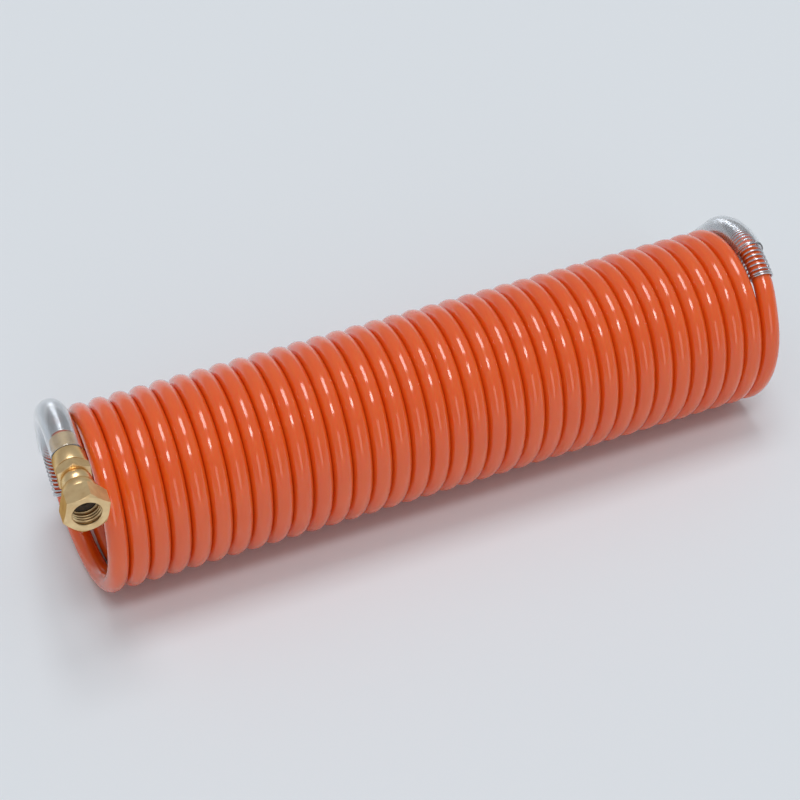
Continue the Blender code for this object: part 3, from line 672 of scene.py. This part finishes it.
@dataclass(frozen=True)
class BrassFitting:
    """The visible brass of one end: compression nut, stem and swivel nut.

    Heights and radii are in millimetres, along and round +Z of the fitting's axis.
    """

    hose_hole: float = 4.3
    barrel: float = 5.5
    barrel_end: float = 9.8
    collar: float = 6.7
    collar_end: float = 17.0
    collar_bore: float = 5.6
    seat: float = 11.0
    spigot: float = 5.15
    spigot_start: float = 13.4
    stop: float = 16.7
    stem_flats: float = 13.0
    stem_hex: tuple[float, float] = (17.3, 21.9)
    stem_turn_deg: float = 30.0
    bead: float = 6.2
    bead_end: float = 27.2
    bead_depth: float = 1.3
    neck: float = 4.1
    groove: float = 3.2
    seal_groove: tuple[float, float] = (28.25, 29.75)
    nose: float = 5.0
    nose_span: tuple[float, float] = (31.9, 33.3)
    stem_bore: float = 2.2
    nut_flats: float = 17.0
    nut_start: float = 27.5
    nut_hex: tuple[float, float] = (33.7, 42.4)
    nut_turn_deg: float = 15.0
    boss: float = 7.2
    nut_hole: float = 4.7
    nut_seat: float = 30.5
    thread_minor: float = 5.72
    thread_major: float = 6.58
    thread_pitch: float = 1.337
    thread_start: float = 35.3
    thread_end: float = 41.1
    thread_runout: float = 0.4
    thread_bite: float = 0.06
    thread_foot: float = 0.44
    thread_crest: float = 0.07
    mouth_chamfer: float = 0.3
    eased: float = 0.5
    softened: float = 0.15
    rim_inset: float = 0.12
    chamfer_deg: float = 30.0
    sharp_deg: float = 28.0
    steps: int = 120

    def turned(self, name: str, outline: Outline, axis: Matrix,
               material: bpy.types.Material) -> bpy.types.Object:
        """Turn a closed outline round the axis.

        Args:
            name: Name of the piece.
            outline: Radius and height of each ring in millimetres, one number or one for each step round.
            axis: Frame of the fitting.
            material: Finish of the piece.

        Returns:
            The turned piece.
        """
        turns = np.linspace(0.0, TAU, self.steps, endpoint=False)
        rings = [np.stack([r * np.cos(turns), r * np.sin(turns), np.broadcast_to(z, self.steps)], axis=1)
                 for r, z in outline]
        turn = np.array(axis)
        placed = np.concatenate(rings) * MM @ turn[:3, :3].T + turn[:3, 3]
        return add_piece(name, placed, ring_faces(len(outline), self.steps, True), material,
                         self.sharp_deg)

    def hexagon(self, across: float, span: tuple[float, float], turn_deg: float) -> Outline:
        """Return the rings of a hexagon with chamfered ends, in millimetres.

        Args:
            across: Distance across the flats.
            span: Lowest and highest height.
            turn_deg: Angle of the first corner round the axis, in degrees.

        Returns:
            The rim at the low end, the two edges of the flats and the rim at the high end.
        """
        turns = np.linspace(0.0, TAU, self.steps, endpoint=False)
        from_middle = (turns - math.radians(turn_deg)) % (TAU / 6.0) - TAU / 12.0
        flats = across / 2.0 / np.cos(from_middle)
        rim = across / 2.0 - self.rim_inset
        chamfer = (flats - rim) * math.tan(math.radians(self.chamfer_deg))
        return [(rim, span[0]), (flats, span[0] + chamfer), (flats, span[1] - chamfer), (rim, span[1])]

    def half_round(self, top: float, start: float, end: float) -> Outline:
        """Return the outline of a round bead, in millimetres.

        Args:
            top: Greatest radius of the bead.
            start: Height at which it begins.
            end: Height at which it ends.

        Returns:
            Radius and height of points over the bead.
        """
        half = (end - start) / 2.0
        angles = [math.radians(a) for a in range(15, 166, 10)]
        return [(top - self.bead_depth * (1.0 - math.sin(a)), start + half * (1.0 - math.cos(a)))
                for a in angles]

    def build_compression_nut(self, end: End, axis: Matrix, material: bpy.types.Material) -> bpy.types.Object:
        """Make the compression nut: barrel under the sleeve, shoulder and collar, with eased edges."""
        edge, soft = self.eased, self.softened
        outline = [
            (self.hose_hole, 0.0), (self.barrel - edge, 0.0), (self.barrel, edge),
            (self.barrel, self.barrel_end - 0.2), (self.barrel + 0.2, self.barrel_end),
            (self.collar - edge, self.barrel_end), (self.collar - soft, self.barrel_end + soft),
            (self.collar, self.barrel_end + edge), (self.collar, self.collar_end - edge),
            (self.collar - soft, self.collar_end - soft), (self.collar - edge, self.collar_end),
            (self.collar_bore, self.collar_end), (self.collar_bore, self.seat),
            (self.hose_hole, self.seat - 0.3),
        ]
        return self.turned(end.label + "_compression_nut", outline, axis, material)

    def build_stem(self, end: End, axis: Matrix, material: bpy.types.Material) -> bpy.types.Object:
        """Make the stem: spigot, hexagon, bead, grooved neck and sealing nose."""
        outline = [
            (self.stem_bore, self.stop), (self.hose_hole, self.stop), (self.hose_hole, self.spigot_start),
            (self.spigot, self.spigot_start), (self.spigot, self.stem_hex[0]),
            *self.hexagon(self.stem_flats, self.stem_hex, self.stem_turn_deg),
            *self.half_round(self.bead, self.stem_hex[1], self.bead_end),
            (self.neck, self.bead_end), (self.neck, self.seal_groove[0]), (self.groove, self.seal_groove[0]),
            (self.groove, self.seal_groove[1]), (self.neck, self.seal_groove[1]), (self.neck, self.nut_seat),
            (self.groove, self.nut_seat),
            (self.groove, self.nose_span[0]), (self.nose, self.nose_span[0]), (self.nose, self.nose_span[1]),
            (self.stem_bore, self.nose_span[1]),
        ]
        return self.turned(end.label + "_fitting_stem", outline, axis, material)

    def build_nut(self, end: End, axis: Matrix, material: bpy.types.Material) -> bpy.types.Object:
        """Make the swivel nut: round boss, chamfered hexagon and a bore for the thread."""
        low, high = self.nut_hex
        outline = [
            (self.nut_hole, self.nut_start), *self.half_round(self.boss, self.nut_start, low),
            *self.hexagon(self.nut_flats, self.nut_hex, self.nut_turn_deg),
            (self.thread_minor + self.mouth_chamfer, high), (self.thread_minor, high - self.mouth_chamfer),
            (self.thread_minor, self.thread_end + self.thread_runout), (self.thread_major, self.thread_end),
            (self.thread_major, self.thread_start),
            (self.thread_minor, self.thread_start - self.thread_runout),
            (self.thread_minor, self.nut_seat), (self.nut_hole, self.nut_seat),
        ]
        return self.turned(end.label + "_union_nut", outline, axis, material)

    def build_thread(self, end: End, axis: Matrix, material: bpy.types.Material) -> bpy.types.Object:
        """Make the thread's ridge: a helix on the wall of the nut's bore that runs out at both ends."""
        per_turn = 48
        rise = self.thread_end - self.thread_start - self.thread_pitch
        count = round(rise / self.thread_pitch * per_turn)
        pitch = self.thread_pitch
        foot, crest = self.thread_foot * pitch, self.thread_crest * pitch
        root = self.thread_major + self.thread_bite
        points = []
        for i in range(count + 1):
            angle = TAU * i / per_turn
            height = self.thread_start + pitch / 2.0 + rise * i / count
            # The ridge grows to its full depth over the first half turn and shrinks over the last.
            full = min(1.0, 0.1 + 2.0 * min(i, count - i) / per_turn)
            tip = self.thread_major - (self.thread_major - self.thread_minor) * full
            for radius, offset in ((root, -foot), (tip, -crest), (tip, crest), (root, foot)):
                local = Vector((radius * math.cos(angle), radius * math.sin(angle), height + offset))
                points.append(axis @ (local * MM))
        faces = capped(ring_faces(count + 1, 4, False), count + 1, 4)
        return add_piece(end.label + "_nut_thread", np.array(points), faces, material)


@dataclass
class EndAssembly:
    """Everything on one end of the hose."""

    end: End
    route: CoilRoute
    guard: Guard
    fitting: BrassFitting

    def ride(self, piece: bpy.types.Object, body: str, slot: str, *nodes: str) -> bpy.types.Object:
        """Hang a piece on a body and hide the CAD nodes that it stands for.

        Args:
            piece: The new piece.
            body: Body that carries it.
            slot: Material slot of the record; not used.
            *nodes: CAD nodes that it replaces.

        Returns:
            The same piece.
        """
        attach(piece, body)
        if nodes:
            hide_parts(*nodes)
        LOG.info("%s on %s, %d faces", piece.name, body, len(piece.data.polygons))
        return piece

    def build(self, line: Route, steel: bpy.types.Material,
              vinyl: bpy.types.Material) -> list[bpy.types.Object]:
        """Build the guard and the fitting and finish the inner CAD parts.

        Args:
            line: The hose's line, read from this end.
            steel: Finish of the spring and the retaining ring.
            vinyl: Finish of the sleeve.

        Returns:
            All pieces on this end, CAD nodes among them.
        """
        label, body, nut_body = self.end.label, self.end.body, self.end.nut_body
        axis = self.route.fitting_axis(self.end)
        brass = TurnedBrass().make(label + "_brass_turned", axis)
        spring = self.guard.build_spring(self.end, line, steel)
        sleeve = self.guard.build_sleeve(self.end, line, vinyl)
        collar = self.fitting.build_compression_nut(self.end, axis, brass)
        stem = self.fitting.build_stem(self.end, axis, brass)
        nut = self.fitting.build_nut(self.end, axis, brass)
        thread = self.fitting.build_thread(self.end, axis, brass)
        pieces = [
            self.ride(spring, body, "spring_steel", label + "_spring_guard"),
            self.ride(sleeve, body, "clear_plastic", label + "_clear_sleeve"),
            self.ride(collar, body, "brass", label + "_tube_nut"),
            self.ride(stem, body, "brass", label + "_stem"),
            self.ride(nut, nut_body, "brass", label + "_swivel_nut"),
            self.ride(thread, nut_body, "brass"),
        ]
        finishes = {"grip_ring": brass, "support_insert": brass, "retaining_ring": steel,
                    "neck_seal": MOULDED_RUBBER.make(), "face_seal": PRESSED_FIBRE.make()}
        for node, finish in finishes.items():
            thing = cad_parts[label + "_" + node]
            thing.data.materials.clear()
            thing.data.materials.append(finish)
            pieces.append(thing)
        return pieces


@dataclass(frozen=True)
class Softbox:
    """A flat lamp that faces the object from so far off that it lights the floor evenly."""

    name: str
    toward: tuple[float, float, float]
    width_deg: float
    height_deg: float
    strength: float
    distance: float = 200.0

    def build(self) -> None:
        """Hang the lamp with its width along X as near as it can be."""
        facing = Vector(self.toward).normalized()
        sideways = Vector((1.0, 0.0, 0.0))
        sideways = (sideways - facing * facing.x).normalized()
        lamp = bpy.data.lights.new(self.name, "AREA")
        lamp.shape = "RECTANGLE"
        lamp.size, lamp.size_y = [2.0 * self.distance * math.tan(math.radians(angle / 2.0))
                                  for angle in (self.width_deg, self.height_deg)]
        lamp.energy = self.strength * math.pi * self.distance ** 2
        thing = bpy.data.objects.new(self.name, lamp)
        turn = Matrix((sideways, facing.cross(sideways), facing)).transposed().to_4x4()
        thing.matrix_world = Matrix.Translation(facing * self.distance) @ turn
        bpy.context.scene.collection.objects.link(thing)


@dataclass(frozen=True)
class Studio:
    """Floor, light and camera."""

    floor_colour: str = "E4EAF0"
    floor_size: float = 160.0
    sky_colour: str = "F2F3F4"
    fill: float = 0.42
    horizon: float = 0.8
    shown: float = 0.44
    horizon_band: tuple[float, float] = (0.03, 0.2)
    lamps: tuple[Softbox, ...] = (
        Softbox("overhead_softbox", (0.05, 0.17, 0.985), 25.0, 22.0, 0.98),
        Softbox("front_softbox", (-0.06, -0.35, 0.93), 20.8, 11.0, 0.62),
        Softbox("low_softbox", (-0.1, -0.91, 0.41), 22.0, 34.0, 0.26),
    )
    target: tuple[float, float, float] = (-0.00646, 0.00488, 0.03805)
    azimuth_deg: float = 23.126
    elevation_deg: float = 42.985
    distance: float = 0.8916
    focal_px: float = 2087.67
    frame_px: float = 800.0
    sensor_mm: float = 36.0

    def build_floor(self) -> None:
        """Lay a plain pale floor."""
        half = self.floor_size / 2.0
        material, tree, shader = new_material("pale_painted_floor")
        space = add_node(tree, "ShaderNodeTexCoord", {})
        mottle = add_node(tree, "ShaderNodeTexNoise", {"Vector": space.outputs["Object"], "Scale": 3.0})
        gloss = add_node(tree, "ShaderNodeMapRange", {
            "Value": mottle.outputs["Fac"], "To Min": 0.62, "To Max": 0.7})
        tree.links.new(gloss.outputs["Result"], shader.inputs["Roughness"])
        shader.inputs["Base Color"].default_value = linear(self.floor_colour)
        shader.inputs["Specular IOR Level"].default_value = 0.2
        corners = np.array([(-half, -half, 0.0), (half, -half, 0.0), (half, half, 0.0), (-half, half, 0.0)])
        floor = add_piece("floor", corners, [(0, 1, 2, 3)], material)

    def build_light(self) -> None:
        """Light the scene from a pale sky and soft lamps; the sky is seen palest at the horizon."""
        world = bpy.data.worlds.new("pale_studio")
        world.use_nodes = True
        bpy.context.scene.world = world
        tree = world.node_tree
        rays = add_node(tree, "ShaderNodeLightPath", {})
        seen = add_node(tree, "ShaderNodeMath", {
            0: rays.outputs["Is Camera Ray"], 1: rays.outputs["Is Glossy Ray"]}, operation="MAXIMUM")
        seen = add_node(tree, "ShaderNodeMath", {
            0: seen.outputs["Value"], 1: rays.outputs["Is Transmission Ray"]}, operation="MAXIMUM")
        space = add_node(tree, "ShaderNodeTexCoord", {})
        split = add_node(tree, "ShaderNodeSeparateXYZ", {"Vector": space.outputs["Generated"]})
        paled = add_node(tree, "ShaderNodeMapRange", {
            "Value": split.outputs["Z"], "From Min": self.horizon_band[0], "From Max": self.horizon_band[1],
            "To Min": self.horizon, "To Max": self.shown})
        strength = add_node(tree, "ShaderNodeMapRange", {
            "Value": seen.outputs["Value"], "To Min": self.fill, "To Max": paled.outputs["Result"]})
        background = tree.nodes["Background"]
        background.inputs["Color"].default_value = linear(self.sky_colour)
        tree.links.new(strength.outputs["Result"], background.inputs["Strength"])
        for lamp in self.lamps:
            lamp.build()

    def build_camera(self) -> None:
        """Set the camera where the photograph was taken from."""
        azimuth, elevation = math.radians(self.azimuth_deg), math.radians(self.elevation_deg)
        toward = Vector((-math.sin(azimuth) * math.cos(elevation), -math.cos(azimuth) * math.cos(elevation),
                         math.sin(elevation)))
        camera = bpy.data.cameras.new("camera")
        camera.sensor_width = self.sensor_mm
        camera.lens = self.focal_px / self.frame_px * camera.sensor_width
        camera.clip_start, camera.clip_end = 0.01, 200.0
        thing = bpy.data.objects.new("camera", camera)
        thing.location = Vector(self.target) + toward * self.distance
        thing.rotation_mode = "QUATERNION"
        thing.rotation_quaternion = toward.to_track_quat("Z", "Y")
        bpy.context.scene.collection.objects.link(thing)
        bpy.context.scene.camera = thing


def main() -> None:
    """Build the studio and the hose."""
    logging.basicConfig(level=logging.INFO, format="%(name)s: %(message)s")
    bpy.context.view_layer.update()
    bpy.context.scene.view_settings.view_transform = "Standard"
    studio = Studio()
    studio.build_floor()
    studio.build_light()
    studio.build_camera()

    coil = CoilRoute()
    line = Route(coil.line())
    hose, centres = Hose().build(line, ExtrudedPolyamide().make())
    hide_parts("hose")
    LOG.info("%s, %.3f m long, %d faces", hose.name, line.length, len(hose.data.polygons))

    steel, vinyl = DrawnSteel().make(), ClearVinyl().make()
    guard, fitting = Guard(), BrassFitting()
    on_hose: list[bpy.types.Object] = []
    for end in End:
        from_end = line if end is End.INLET else Route(line.points[::-1])
        on_hose += EndAssembly(end, coil, guard, fitting).build(from_end, steel, vinyl)
    coil.fitting_axis(End.INLET).translation

    bpy.context.view_layer.update()


if __name__ == "__main__":
    main()
